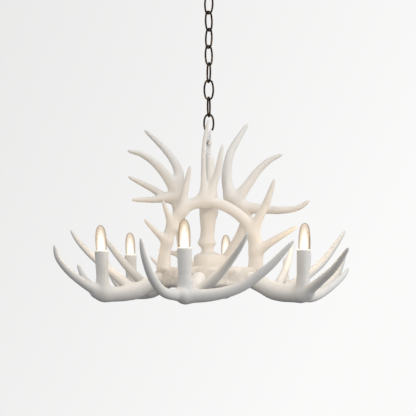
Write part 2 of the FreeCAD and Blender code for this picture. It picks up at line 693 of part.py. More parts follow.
def upper_antler(name):
    antler = upper_antlers[name]
    x, y = antler["leg"][0]
    points = [V(x, y, hub_top)] + [V(px, py, datum + pz) for px, py, pz in antler["leg"][1:]]
    centres = along(points, leg_stations)
    radii = [spread(antler["radii"], share) for share in leg_stations]
    body = taper(centres, radii, beam_sides, V(0, 0, 1))
    limbs = []
    for route, radius, flare, tip_radius in antler["tines"]:
        points = [(px, py, datum + pz) for px, py, pz in route]
        limbs.append(tine(points, radius, flare, tip_radius))
    body = body.fuse(limbs)
    hole = cylinder(foot_bolt + bore_clearance, foot_bolt_grip + bolt_end_room, V(x, y, hub_top),
                    sides=bolt_sides)
    write(body.cut(hole), "antler_" + name)


def antler_bolts():
    bolts = []
    for antler in upper_antlers.values():
        x, y = antler["leg"][0]
        bolt = hex_bolt(foot_bolt, hub_top_wall + foot_bolt_grip, foot_bolt_head,
                        foot_bolt_head_height)
        bolt.rotate(V(0, 0, 0), V(0, 1, 0), -90)
        bolt.translate(V(x, y, hub_top - hub_top_wall))
        bolts.append(bolt)
    write(Part.makeCompound(bolts), "antler_bolts")


ceiling_parts()
hanging_chain()
hanger_parts()
column()
hub()
for arm_name in arm_angles:
    arm(arm_name)
    lamp(arm_name)
arm_bolts()
for antler_name in upper_antlers:
    upper_antler(antler_name)
antler_bolts()
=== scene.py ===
import math
import bpy
import numpy as np
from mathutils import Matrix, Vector, noise


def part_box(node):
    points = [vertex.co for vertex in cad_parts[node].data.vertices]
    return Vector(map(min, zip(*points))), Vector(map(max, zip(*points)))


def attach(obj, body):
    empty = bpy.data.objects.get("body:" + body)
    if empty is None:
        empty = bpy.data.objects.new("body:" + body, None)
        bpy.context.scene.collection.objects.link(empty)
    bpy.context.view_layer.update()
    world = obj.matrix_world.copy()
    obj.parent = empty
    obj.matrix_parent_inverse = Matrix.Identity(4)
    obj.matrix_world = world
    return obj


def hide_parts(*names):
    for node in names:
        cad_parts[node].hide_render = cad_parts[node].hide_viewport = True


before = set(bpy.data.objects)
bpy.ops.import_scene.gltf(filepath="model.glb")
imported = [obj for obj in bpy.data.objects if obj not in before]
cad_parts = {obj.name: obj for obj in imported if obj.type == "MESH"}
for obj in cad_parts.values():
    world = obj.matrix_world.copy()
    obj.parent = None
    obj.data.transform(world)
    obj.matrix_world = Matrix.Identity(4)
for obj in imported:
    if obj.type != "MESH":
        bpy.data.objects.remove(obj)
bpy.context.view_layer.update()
print("frame loaded")

mm = 0.001          # pieces are measured in millimetres; the camera, the room and its lights in metres
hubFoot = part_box("hub")[0].z          # every antler height counts from the hub's underside
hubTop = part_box("column")[0].z


# shader sums written as plain expressions
class Shade:
    def __init__(self, tree, socket=None):
        self.tree = tree
        self.socket = socket

    def node(self, kind, settings=None, links=None, out=0):
        made = self.tree.nodes.new("ShaderNode" + kind)
        for name, value in (settings or {}).items():
            setattr(made, name, value)
        for name, value in (links or {}).items():
            if isinstance(value, Shade):
                self.tree.links.new(value.socket, made.inputs[name])
            else:
                made.inputs[name].default_value = value
        return Shade(self.tree, made.outputs[out] if made.outputs else None)

    def sibling(self, out):
        # another output of the same node
        return Shade(self.tree, self.socket.node.outputs[out])

    def math(self, operation, *values):
        return self.node("Math", {"operation": operation}, dict(enumerate(values)))

    def __add__(self, other):
        return self.math("ADD", self, other)

    __radd__ = __add__

    def __sub__(self, other):
        return self.math("SUBTRACT", self, other)

    def __rsub__(self, other):
        return self.math("SUBTRACT", other, self)

    def __mul__(self, other):
        return self.math("MULTIPLY", self, other)

    __rmul__ = __mul__

    def __pow__(self, other):
        return self.math("POWER", self, other)

    def __rpow__(self, other):
        return self.math("POWER", other, self)

    def clip(self, low=0.0, high=1.0):
        return self.math("MINIMUM", self.math("MAXIMUM", self, low), high)

    def ramp(self, start, steepness):
        # nothing up to the start, then rising to one
        return ((self - start) * steepness).clip()

    def blend(self, first, second):
        # a colour between two others, by this value
        return self.node("Mix", {"data_type": "RGBA"}, {0: self, 6: first, 7: second}, out=2)


# small makers that the materials share
noiseMiddle = 0.5


def rgb(red, green, blue):
    return (red, green, blue, 1.0)


def newMaterial(name):
    material = bpy.data.materials.new(name)
    material.use_nodes = True
    material.node_tree.nodes.clear()
    return material, Shade(material.node_tree)


def finishMaterial(paint, surface):
    paint.node("OutputMaterial", None, {"Surface": surface})


def grain(paint, scale, detail, distortion=0.0):
    place = paint.node("TexCoord", out="Object")
    return paint.node("TexNoise", None, {"Vector": place, "Scale": scale, "Detail": detail,
                                         "Distortion": distortion})


def bump(paint, strength, depth, height):
    return paint.node("Bump", None, {"Strength": strength, "Distance": depth, "Height": height})


def heightIn(paint, space):
    place = paint.node("TexCoord", out=space)
    return paint.node("SeparateXYZ", None, {"Vector": place}, out="Z")


def facing(paint):
    # nought where the surface faces the eye, one where it is seen edge on
    return paint.node("LayerWeight", None, {"Blend": 0.5}, out="Facing")


# cast resin
resin = {"cool": (0.82, 0.815, 0.80), "coolShade": (0.76, 0.75, 0.73),
         "warm": (0.82, 0.785, 0.74), "warmShade": (0.76, 0.71, 0.65),
         "patchScale": 18.0, "patchDetail": 4.0, "patchStart": 0.45, "patchContrast": 2.2,
         "speckScale": 420.0, "speckDetail": 2.0, "ior": 1.49,
         "roughness": 0.46, "roughnessSpread": 0.12,
         "bump": 0.11, "bumpDepth": 0.0006, "patchRelief": 0.8, "speckRelief": 0.2}
stains = {"colour": (0.40, 0.32, 0.25), "scale": 22.0, "detail": 3.0, "distortion": 0.8,
          "start": 0.52, "contrast": 6.0, "amount": 0.46}
# painted lamp light: the resin is tinted warm low down, near the lamps, and fades to cool white higher up
paintedLampWarmth = {"warmBelow": -0.60, "coolAbove": -0.42}          # heights in metres, the ceiling at nought
# painted glow on the candle's rim, an emission standing in for the lamp's light on it; it starts at a share
# of the candle's height
paintedRimGlow = {"colour": (1.0, 0.86, 0.62), "strength": 0.9, "start": 0.93, "steepness": 14.0, "falloff": 2.0}


def castResin(name, kind):
    # kind: "cool" all over, "stained" and warm, "rising" from a painted warm lamp glow low down to cool
    # higher up, "candle" with a painted glow on its rim
    material, paint = newMaterial(name)
    patches = grain(paint, resin["patchScale"], resin["patchDetail"])
    specks = grain(paint, resin["speckScale"], resin["speckDetail"])
    mottle = patches.ramp(resin["patchStart"], resin["patchContrast"])
    cool = mottle.blend(rgb(*resin["cool"]), rgb(*resin["coolShade"]))
    warm = mottle.blend(rgb(*resin["warm"]), rgb(*resin["warmShade"]))
    colour = cool
    if kind == "stained":
        blotches = grain(paint, stains["scale"], stains["detail"], stains["distortion"])
        stain = blotches.ramp(stains["start"], stains["contrast"]) * stains["amount"]
        colour = stain.blend(warm, rgb(*stains["colour"]))
    if kind == "paintedWarmth":
        # painted light: warmer low down, where the lamps would shine on it, cooler higher up
        span = paintedLampWarmth["coolAbove"] - paintedLampWarmth["warmBelow"]
        colour = heightIn(paint, "Object").ramp(paintedLampWarmth["warmBelow"], 1.0 / span).blend(warm, cool)
    relief = patches * resin["patchRelief"] + specks * resin["speckRelief"]
    links = {"Base Color": colour, "IOR": resin["ior"],
             "Roughness": resin["roughness"] + (specks - noiseMiddle) * resin["roughnessSpread"],
             "Normal": bump(paint, resin["bump"], resin["bumpDepth"], relief)}
    if kind == "candle":
        # painted light: the rim glows warm on its own, standing in for the lamp shining on it
        lit = heightIn(paint, "Generated").ramp(paintedRimGlow["start"], paintedRimGlow["steepness"]) ** paintedRimGlow["falloff"]
        links["Emission Color"] = lit.blend(rgb(0, 0, 0), rgb(*paintedRimGlow["colour"]))
        links["Emission Strength"] = paintedRimGlow["strength"]
        material.cycles.emission_sampling = "NONE"
    finishMaterial(paint, paint.node("BsdfPrincipled", None, links))
    return material


# aged bronze
bronze = {"dark": (0.022, 0.015, 0.010), "worn": (0.26, 0.165, 0.075), "metallic": 0.9,
          "roughness": 0.34, "wornRoughness": 0.1, "wearScale": 160.0, "wearDetail": 4.0,
          "wearStart": 0.52, "wearContrast": 5.0, "fineScale": 900.0, "fineDetail": 2.0,
          "bump": 0.25, "bumpDepth": 0.0003}


def agedBronze(name):
    material, paint = newMaterial(name)
    worn = grain(paint, bronze["wearScale"], bronze["wearDetail"]).ramp(bronze["wearStart"],
                                                                        bronze["wearContrast"])
    fine = grain(paint, bronze["fineScale"], bronze["fineDetail"])
    surface = paint.node("BsdfPrincipled", None, {
        "Base Color": worn.blend(rgb(*bronze["dark"]), rgb(*bronze["worn"])),
        "Metallic": bronze["metallic"],
        "Roughness": bronze["roughness"] + worn * bronze["wornRoughness"],
        "Normal": bump(paint, bronze["bump"], bronze["bumpDepth"], fine)})
    finishMaterial(paint, surface)
    return material


# plain metal and plain plastic
metal = {"fineScale": 700.0, "fineDetail": 2.0, "shade": 0.86, "metallic": 1.0, "roughnessSpread": 0.2,
         "bump": 0.0}
plastic = {"fineScale": 1200.0, "fineDetail": 2.0, "shade": 0.9, "metallic": 0.0,
           "roughnessSpread": 0.1, "bump": 0.1, "bumpDepth": 0.0002}


def plainFinish(name, look, colour, roughness):
    material, paint = newMaterial(name)
    fine = grain(paint, look["fineScale"], look["fineDetail"])
    links = {"Base Color": fine.blend(rgb(*colour), rgb(*[c * look["shade"] for c in colour])),
             "Metallic": look["metallic"],
             "Roughness": roughness + (fine - noiseMiddle) * look["roughnessSpread"]}
    if look["bump"]:
        links["Normal"] = bump(paint, look["bump"], look["bumpDepth"], fine)
    finishMaterial(paint, paint.node("BsdfPrincipled", None, links))
    return material


# lamp glass and the glow inside it
glass = {"tint": (0.82, 0.785, 0.745), "tintStart": 0.15, "tintSteepness": 2.0,
         "gloss": 0.02, "edgeGloss": 0.12, "edgePower": 3.0, "roughness": 0.06}
glow = {"hot": (1.0, 0.975, 0.92), "warm": (0.52, 0.415, 0.29), "strength": 1.5, "roughness": 0.6,
        "heat": 1.28, "edgeLoss": 1.15, "edgePower": 0.5, "heightLoss": 1.05, "heightPower": 1.3,
        "opacity": 1.2, "leastOpacity": 0.42}


def clearGlass(name):
    # the wall looks darker where it is seen edge on
    material, paint = newMaterial(name)
    edge = facing(paint)
    clear = paint.node("BsdfTransparent", None, {"Color": rgb(1, 1, 1)})
    tinted = paint.node("BsdfTransparent", None, {"Color": rgb(*glass["tint"])})
    gloss = paint.node("BsdfPrincipled", None, {"Base Color": rgb(0, 0, 0),
                                                "Roughness": glass["roughness"]})
    tint = edge.ramp(glass["tintStart"], glass["tintSteepness"])
    wall = paint.node("MixShader", None, {0: tint, 1: clear, 2: tinted})
    shine = (edge ** glass["edgePower"]) * glass["edgeGloss"] + glass["gloss"]
    finishMaterial(paint, paint.node("MixShader", None, {0: shine, 1: wall, 2: gloss}))
    return material


def glowing(name):
    # white-hot low down and in the middle, fading to warm and then to clear
    material, paint = newMaterial(name)
    material.cycles.emission_sampling = "NONE"
    edge = facing(paint) ** glow["edgePower"]
    climb = heightIn(paint, "Generated") ** glow["heightPower"]
    heat = (glow["heat"] - edge * glow["edgeLoss"] - climb * glow["heightLoss"]).clip()
    surface = paint.node("BsdfPrincipled", None, {
        "Base Color": rgb(0.0, 0.0, 0.0), "Roughness": glow["roughness"],
        "Emission Color": heat.blend(rgb(*glow["warm"]), rgb(*glow["hot"])),
        "Emission Strength": glow["strength"],
        "Alpha": (heat * glow["opacity"] + glow["leastOpacity"]).clip()})
    finishMaterial(paint, surface)
    return material


finishes = {
    "resin": castResin("castResin", "cool"),
    "hubResin": castResin("hubResin", "stained"),
    "antlerResin": castResin("antlerResin", "paintedWarmth"),
    "candleResin": castResin("candleResin", "candle"),
    "bronze": agedBronze("agedBronze"),
    "strapPaint": plainFinish("strapPaint", plastic, (0.93, 0.93, 0.94), 0.42),
    "zinc": plainFinish("zincSteel", metal, (0.48, 0.47, 0.46), 0.34),
    "capMetal": plainFinish("capMetal", metal, (0.72, 0.60, 0.38), 0.3),
    "glass": clearGlass("bulbGlass"),
    "glow": glowing("bulbGlow"),
    "holder": plainFinish("holderPlastic", plastic, (0.78, 0.76, 0.72), 0.5),
    "terminal": plainFinish("terminalPlastic", plastic, (0.70, 0.69, 0.64), 0.45)}
print("materials made")


# mesh helpers
def dress(piece, finish, body, replaced=()):
    if piece.name not in bpy.context.scene.collection.objects:
        bpy.context.scene.collection.objects.link(piece)
    piece.data.materials.clear()
    piece.data.materials.append(finishes[finish])
    piece.data.shade_smooth()
    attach(piece, body)
    if replaced:
        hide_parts(*replaced)
    return piece


def newObject(name, verts, faces, finish, body, replaced=(), slot=None):
    mesh = bpy.data.meshes.new(name)
    mesh.from_pydata([tuple(v) for v in verts], [], [tuple(f) for f in faces])
    mesh.validate()
    mesh.update()
    return dress(bpy.data.objects.new(name, mesh), finish, body, replaced)


def readSpots(mesh):
    spots = np.zeros(len(mesh.vertices) * 3)
    mesh.vertices.foreach_get("co", spots)
    return spots.reshape(-1, 3)


def writeSpots(mesh, spots):
    mesh.vertices.foreach_set("co", spots.ravel())
    mesh.update()


def unit(rows):
    return rows / np.maximum(np.linalg.norm(rows, axis=-1, keepdims=True), 1e-12)


def circle(sides):
    return np.linspace(0, 2 * math.pi, sides, endpoint=False)


def loopAround(angles, side, other):
    # unit circle in the plane of two directions
    return np.outer(np.cos(angles), side) + np.outer(np.sin(angles), other)


def turnedAbout(places, angle):
    # turned about the upright axis, in place
    x, y = places[:, 0].copy(), places[:, 1].copy()
    places[:, 0] = x * math.cos(angle) - y * math.sin(angle)
    places[:, 1] = x * math.sin(angle) + y * math.cos(angle)
    return places


def spline(points, count):
    # Catmull-Rom curve through the points, at even steps of its length
    stepsPerSpan = 16
    p = np.array(points, float)
    p = np.vstack([2 * p[0] - p[1], p, 2 * p[-1] - p[-2]])
    t = np.linspace(0, 1, stepsPerSpan, endpoint=False)[:, None]
    parts = []
    for a, b, c, d in zip(p, p[1:], p[2:], p[3:]):
        parts.append(0.5 * (2 * b + (c - a) * t + (2 * a - 5 * b + 4 * c - d) * t ** 2
                            + (3 * b - a - 3 * c + d) * t ** 3))
    fine = np.vstack(parts + [p[-2:-1]])
    run = np.concatenate([[0], np.cumsum(np.linalg.norm(np.diff(fine, axis=0), axis=1))])
    even = np.linspace(0, run[-1], count)
    return np.stack([np.interp(even, run, fine[:, k]) for k in range(3)], 1)


def spread(values, count):
    # a short list of values stretched evenly over more places
    return np.interp(np.linspace(0, 1, count), np.linspace(0, 1, len(values)), values)


def ringsAlong(points, radii, sides):
    # rings square to the route, carried along it without twist
    points = np.array(points, float)
    ways = unit(np.gradient(points, axis=0))
    upright = abs(ways[0][2]) >= 0.7
    side = np.array([1.0, 0.0, 0.0]) if upright else np.array([0.0, 0.0, 1.0])
    rings = []
    for point, way, radius in zip(points, ways, radii):
        side = side - way * side.dot(way)
        side /= np.linalg.norm(side)
        rings.append(point + radius * loopAround(circle(sides), side, np.cross(way, side)))
    return rings


def turned(profile, sides, centre, axis):
    # rings of a turned form along an axis: pairs of height and radius
    offAxis = [0.3, 1.0, 0.2]          # any direction that isn't the axis
    axis = np.array(axis) / np.linalg.norm(axis)
    side = np.cross(axis, offAxis)
    side /= np.linalg.norm(side)
    around = loopAround(circle(sides), side, np.cross(axis, side))
    return [np.array(centre) + axis * height + radius * around for height, radius in profile]


def skinOf(rings, closed=False):
    # quads between rings; the ends are capped, or joined to each other where closed
    sides = len(rings[0])
    follower = list(range(1, len(rings))) + ([0] if closed else [])
    faces = []
    for low, high in zip(range(len(rings)), follower):
        for k in range(sides):
            n = (k + 1) % sides
            faces.append((low * sides + k, low * sides + n, high * sides + n, high * sides + k))
    if not closed:
        faces.append(tuple(range(sides))[::-1])
        faces.append(tuple((len(rings) - 1) * sides + k for k in range(sides)))
    return np.vstack(rings), faces


def merge(parts):
    verts, faces, start = [], [], 0
    for v, f in parts:
        verts.append(v)
        faces += [tuple(k + start for k in face) for face in f]
        start += len(v)
    return np.vstack(verts), faces


def neighbours(mesh):
    edges = np.zeros(len(mesh.edges) * 2, int)
    mesh.edges.foreach_get("vertices", edges)
    return edges.reshape(-1, 2)


def relax(spots, edges, rounds, outward=None):
    # each place drifts towards the middle of its neighbours, only along the surface if outward is given
    pull = 0.5
    count = np.bincount(edges.ravel(), minlength=len(spots))[:, None]
    for _ in range(rounds):
        total = np.zeros_like(spots)
        np.add.at(total, edges[:, 0], spots[edges[:, 1]])
        np.add.at(total, edges[:, 1], spots[edges[:, 0]])
        drift = total / np.maximum(count, 1) - spots
        if outward is not None:
            drift -= outward * (drift * outward).sum(1)[:, None]
        spots = spots + pull * drift
    return spots


def remeshed(name, verts, faces, voxel):
    mesh = bpy.data.meshes.new(name)
    mesh.from_pydata([tuple(v) for v in verts], [], faces)
    piece = bpy.data.objects.new(name, mesh)
    bpy.context.scene.collection.objects.link(piece)
    change = piece.modifiers.new("remesh", "REMESH")
    change.mode = "VOXEL"
    change.voxel_size = voxel
    bpy.context.view_layer.update()
    solid = bpy.data.meshes.new_from_object(piece.evaluated_get(bpy.context.evaluated_depsgraph_get()))
    piece.modifiers.clear()
    piece.data = solid
    bpy.data.meshes.remove(mesh)
    solid.name = name
    return piece


def roughness(spots, scale):
    # smooth random heights, finer where the scale is larger
    return np.array([noise.noise(Vector((x * scale[0], y * scale[1], z * scale[2]))) for x, y, z in spots])


# castings: limbs that flow into each other; the longest move is in voxels
casting = {"limbSides": 14, "endReach": 0.5, "endShare": 0.7, "voxel": 1.5, "web": 4.0, "turns": 5,
           "evenings": 4, "longestMove": 4.0, "leastSlope": 0.12, "furrowScale": (95, 95, 30)}


class Limb:
    # one round bar of changing radius along a route
    def __init__(self, points, radii):
        self.points = np.array(points, float)
        self.radii = np.array(radii, float)

    def skin(self):
        # a tube that reaches a little past both ends of the route, narrower there
        reach, share = casting["endReach"], casting["endShare"]
        ways = unit(np.array([self.points[0] - self.points[1], self.points[-1] - self.points[-2]]))
        points = [self.points[0] + ways[0] * self.radii[0] * reach, *self.points,
                  self.points[-1] + ways[1] * self.radii[-1] * reach]
        radii = [self.radii[0] * share, *self.radii, self.radii[-1] * share]
        return skinOf(ringsAlong(points, radii, casting["limbSides"]))

    def nearest(self, spots):
        # distance to the limb's surface, and the closest place on its middle line
        a, b = self.points[:-1], self.points[1:]
        along = b - a
        length = np.maximum((along ** 2).sum(1), 1e-15)
        best = np.full(len(spots), 1e9)
        foot = np.zeros((len(spots), 3))
        for k in range(len(a)):
            share = np.clip((spots - a[k]) @ along[k] / length[k], 0, 1)
            place = a[k] + share[:, None] * along[k]
            size = self.radii[k] + (self.radii[k + 1] - self.radii[k]) * share
            gap = np.linalg.norm(spots - place, axis=1) - size
            better = gap < best
            best[better], foot[better] = gap[better], place[better]
        return best, foot


def castForm(name, limbs, furrow, finish, replaced):
    # the joined skin moves onto a surface that blends the limbs' distances
    voxel, web = casting["voxel"] * mm, casting["web"] * mm
    piece = remeshed(name, *merge([limb.skin() for limb in limbs]), voxel)
    spots = readSpots(piece.data)
    edges = neighbours(piece.data)
    for turn in range(casting["turns"]):
        total = np.zeros(len(spots))
        slope = np.zeros((len(spots), 3))
        for limb in limbs:
            gap, foot = limb.nearest(spots)
            share = np.exp(np.clip(-gap / web, -30, 30))          # the clip keeps it in range
            total += share
            slope += share[:, None] * unit(spots - foot)
        level = -web * np.log(np.maximum(total, 1e-12))
        slope /= total[:, None]
        steep = np.maximum((slope ** 2).sum(1), casting["leastSlope"])
        limit = casting["longestMove"] * voxel
        spots = spots - np.clip(level / steep, -limit, limit)[:, None] * slope
        if turn < casting["turns"] - 1:
            spots = relax(spots, edges, casting["evenings"], unit(slope))
    spots = spots + slope * (roughness(spots, casting["furrowScale"]) * (furrow * mm))[:, None]
    writeSpots(piece.data, spots)
    dress(piece, finish, "light", replaced)


# camera
shot = {"place": (0.0, -1.790, -0.7403), "lens": 64.5, "sensor": 36.0, "shiftX": -0.0019,
        "shiftY": 0.1755}
camera = bpy.data.objects.new("camera", bpy.data.cameras.new("camera"))
bpy.context.scene.collection.objects.link(camera)
camera.location = shot["place"]
camera.rotation_euler = (math.pi / 2, 0, 0)
camera.data.lens = shot["lens"]
camera.data.sensor_width = shot["sensor"]
camera.data.shift_x = shot["shiftX"]
camera.data.shift_y = shot["shiftY"]
bpy.context.scene.camera = camera
bpy.context.scene.view_settings.view_transform = "Standard"

# room: a backdrop that only the camera sees, and a soft light from all round, with more of it
# from above and from the east, less from below and from behind
backdrop = {"tone": 0.915, "eastward": 0.21, "upward": -0.10, "darkest": 0.74, "brightest": 0.96}
ambient = {"level": 0.46, "above": 0.24, "east": 0.32, "below": 0.42, "behind": 0.22,
           "tint": (1.0, 0.998, 0.995)}
floorLook = {"height": -2.3, "rings": (1.0, 3.0, 6.0), "sides": 48, "tone": 0.86, "fadeStart": 3.2,
             "fadeSteepness": 0.4}


def studio():
    world = bpy.data.worlds.new("studio")
    bpy.context.scene.world = world
    world.use_nodes = True
    world.node_tree.nodes.clear()
    sky = Shade(world.node_tree)
    east = sky.node("SeparateXYZ", None, {"Vector": sky.node("TexCoord", out="Generated")}, out="X")
    north = east.sibling("Y")
    height = east.sibling("Z")
    seen = backdrop["tone"] + east * backdrop["eastward"] + height * backdrop["upward"]
    seen = seen.clip(backdrop["darkest"], backdrop["brightest"])
    light = ambient["level"] + (height * ambient["above"]).clip() + (east * ambient["east"]).clip()
    light = light - (height * -ambient["below"]).clip() - (north * ambient["behind"]).clip()
    eye = sky.node("LightPath", out="Is Camera Ray")
    level = eye * seen + (1 - eye) * light
    shade = level.clip().blend(rgb(0, 0, 0), rgb(*ambient["tint"]))
    lit = sky.node("Background", None, {"Color": shade, "Strength": 1.0})
    sky.node("OutputWorld", None, {"Surface": lit})


def paleFloor():
    # fades out before its edge
    sides, height = floorLook["sides"], floorLook["height"]
    angles = circle(sides)
    rings = [np.array([[0, 0, height]] * sides)]
    for radius in floorLook["rings"]:
        rings.append(np.stack([radius * np.cos(angles), radius * np.sin(angles), np.full(sides, height)], 1))
    verts, faces = skinOf(rings)
    mesh = bpy.data.meshes.new("floor")
    mesh.from_pydata([tuple(v) for v in verts], [], faces[:-2])
    floor = bpy.data.objects.new("floor", mesh)
    bpy.context.scene.collection.objects.link(floor)
    material, paint = newMaterial("paleFloor")
    place = paint.node("TexCoord", out="Object")
    reach = paint.node("VectorMath", {"operation": "LENGTH"}, {0: place}, out="Value")
    fade = reach.ramp(floorLook["fadeStart"], floorLook["fadeSteepness"])
    pale = paint.node("BsdfDiffuse", None, {"Color": rgb(*[floorLook["tone"]] * 3)})
    clear = paint.node("BsdfTransparent")
    finishMaterial(paint, paint.node("MixShader", None, {0: fade, 1: pale, 2: clear}))
    mesh.materials.append(material)
    floor.visible_diffuse = False
    floor.visible_glossy = False


studio()
paleFloor()

# studio lights: three soft boxes, and a spot that stands for the lamps' light on the middle of the piece
lights = {
    "rightBox": {"kind": "AREA", "place": (1.05, -0.75, -0.45), "target": (0.2, -0.1, -0.7),
                 "size": (0.6, 0.8), "power": 1.6, "colour": (1.0, 0.985, 0.96)},
    "sideBox": {"kind": "AREA", "place": (0.62, -0.62, -0.62), "target": (0.2, -0.2, -0.7),
                "size": (0.25, 0.35), "power": 0.34, "colour": (1.0, 0.95, 0.87)},
    "topBox": {"kind": "AREA", "place": (0.3, -0.2, 0.5), "target": (0, 0, -0.6),
               "size": (1.6, 1.6), "power": 5.0, "colour": (1.0, 0.99, 0.98)},
    "warmSpot": {"kind": "SPOT", "place": (-0.15, -1.25, -0.25), "target": (0, 0, -0.48),
                 "spread": 27.0, "blend": 0.7, "softness": 0.12, "power": 11.5,
                 "colour": (1.0, 0.86, 0.70)}}


def newLight(name, kind, power, colour, place):
    light = bpy.data.lights.new(name, kind)
    light.energy = power
    light.color = colour
    lamp = bpy.data.objects.new(name, light)
    bpy.context.scene.collection.objects.link(lamp)
    lamp.location = place
    return lamp


def studioLight(name, look):
    lamp = newLight(name, look["kind"], look["power"], look["colour"], look["place"])
    if look["kind"] == "AREA":
        lamp.data.shape = "RECTANGLE"
        lamp.data.size, lamp.data.size_y = look["size"]
    else:
        lamp.data.spot_size = math.radians(look["spread"])
        lamp.data.spot_blend = look["blend"]
        lamp.data.shadow_soft_size = look["softness"]
    lamp.rotation_mode = "QUATERNION"
    lamp.rotation_quaternion = (Vector(look["target"]) - Vector(look["place"])).to_track_quat("-Z", "Y")
    lamp.visible_camera = False


for lightName, lightLook in lights.items():
    studioLight(lightName, lightLook)
print("studio set")

# lower arms: each is a beam, three tines and the candle's foot, in its own frame along +X;
# their angles count from the front towards the right
arm = {
    "angles": {"front": -11.0, "right": 52.6, "rear_right_side": 111.5, "rear": 169.8,
               "rear_left_side": -128.5, "left": -68.8},
    "beam": [(121, 0, 18), (149, 0, 6), (184, 0, -9), (224, 0, -15), (262, 0, -15), (275, 0, -13)],
    "beamRadii": [17.5, 17.2, 18.2, 17.8, 16.1, 9.6], "beamCount": 20,
    "sideRoot": (183.0, 10.5, -8.0), "fork": (256, 0, -15),
    "tineRadii": {"outer": 11.5, "side": 12.5, "sweep": 14.0}, "tip": 2.2, "flare": 1.0,
    "furrow": 0.22}
armTines = {
    "front": {"outer": [(306, -29, -9), (345, -44, 18), (378, -52, 59), (393, -55, 94)],
              "side": [(199, 33, 4), (233, 75, 39), (269, 112, 78), (291, 134, 108)],
              "sweep": [(251, 52, -14), (248, 113, 2), (251, 170, 41), (256, 222, 94)]},
    "right": {"outer": [(272, -3, -8), (316, -16, 19), (354, -31, 44), (396, -54, 81)],
              "side": [(201, 31, -1), (235, 69, 31), (262, 98, 66), (293, 133, 129)],
              "sweep": [(249, 60, -20), (247, 125, -7), (253, 192, 22), (257, 222, 45)]},
    "rear_right_side": {"outer": [(300, -9, -6), (346, -12, 28), (373, -11, 83)],
                        "side": [(201, 31, 3), (252, 82, 52), (297, 129, 125)],
                        "sweep": [(258, 60, -12), (272, 122, 18), (290, 166, 78)]},
    "rear": {"outer": [(306, -29, -9), (352, -46, 26), (393, -58, 85)],
             "side": [(199, 32, 3), (249, 85, 53), (291, 128, 114)],
             "sweep": [(250, 56, -14), (248, 128, 8), (257, 211, 82)]},
    "rear_left_side": {"outer": [(302, -12, -8), (350, -20, 28), (383, -22, 87)],
                       "side": [(196, 28, 14), (225, 58, 58), (268, 95, 128)],
                       "sweep": [(251, 50, -15), (252, 82, -6), (259, 112, 18)]},
    "left": {"outer": [(296, 7, 5), (337, 18, 34), (365, 27, 65), (373, 30, 92)],
             "side": [(215, -46, 26), (257, -96, 71), (285, -128, 106), (303, -149, 138)],
             "sweep": [(251, -60, -15), (256, -130, 1), (264, -186, 25), (271, -223, 55)]}}
candle = {"distance": 262.0, "top": 84.0, "lean": 2.5, "sides": 40,
          "profile": [(-60, 12.8), (-60, 13.4), (-53, 13.85), (-45, 14.15), (-30, 14.7), (-16, 15.1),
                      (-7, 15.35), (-3, 15.5), (-1.3, 15.2), (-0.35, 14.6), (0, 13.9), (-0.3, 13.5),
                      (-1.2, 13.1), (-12, 13.1)],
          "foot": [(-90, 16.0), (-74, 15.2), (-62, 14.2), (-54, 13.7), (-40, 13.0)], "footCount": 12}


def row(points, name=None):
    # millimetres above the hub's underside, in an arm's own frame or the light's, to metres
    points = np.array(points, float) * mm
    points[:, 2] += hubFoot
    if name is not None:
        turnedAbout(points, math.radians(arm["angles"][name] - 90.0))
    return points


# tines, on the lower arms and on the upper antlers
tine = {"count": 30, "taper": 0.5, "flareEnd": 0.45}


def tineLimb(route, radius, flare, thin, name=None):
    u = np.linspace(0, 1, tine["count"])
    radii = thin + (radius - thin) * (1 - u) ** tine["taper"] \
        + flare * np.maximum(0, 1 - u / tine["flareEnd"]) ** 2
    return Limb(row(spline(route, tine["count"]), name), radii * mm)


def candleFrame(name):
    # the middle of the candle's rim, and its leaning axis
    lean = math.radians(candle["lean"])
    depth = 100          # any length down the axis
    top = row([(candle["distance"], 0, candle["top"])], name)[0]
    below = row([(candle["distance"] - depth * math.sin(lean), 0,
                  candle["top"] - depth * math.cos(lean))], name)[0]
    return top, unit(top - below)


def armLimbs(name):
    beam = row(spline(arm["beam"], arm["beamCount"]), name)
    limbs = [Limb(beam, spread(arm["beamRadii"], arm["beamCount"]) * mm)]
    hand = -1 if name == "left" else 1          # the left arm is left-handed
    for kind, bends in armTines[name].items():
        x, y, z = arm["sideRoot"] if kind == "side" else arm["fork"]
        limbs.append(tineLimb([(x, y * hand, z)] + bends, arm["tineRadii"][kind], arm["flare"],
                              arm["tip"], name))
    top, axis = candleFrame(name)
    heights, radii = zip(*candle["foot"])
    steps = np.linspace(heights[0], heights[-1], candle["footCount"])
    limbs.append(Limb([top + axis * step * mm for step in steps], np.interp(steps, heights, radii) * mm))
    return limbs


def candleSleeve(name):
    # turned tube with a rolled rim, hollow down to the lampholder
    top, axis = candleFrame(name)
    rings = turned([(h * mm, radius * mm) for h, radius in candle["profile"]], candle["sides"], top, axis)
    newObject("candle_" + name, *skinOf(rings, closed=True), "candleResin", "light",
              ("arm_" + name,), "white_resin")


for armName in arm["angles"]:
    castForm("antlerArm_" + armName, armLimbs(armName), arm["furrow"], "resin", ("arm_" + armName,))
    candleSleeve(armName)
print("arms cast")

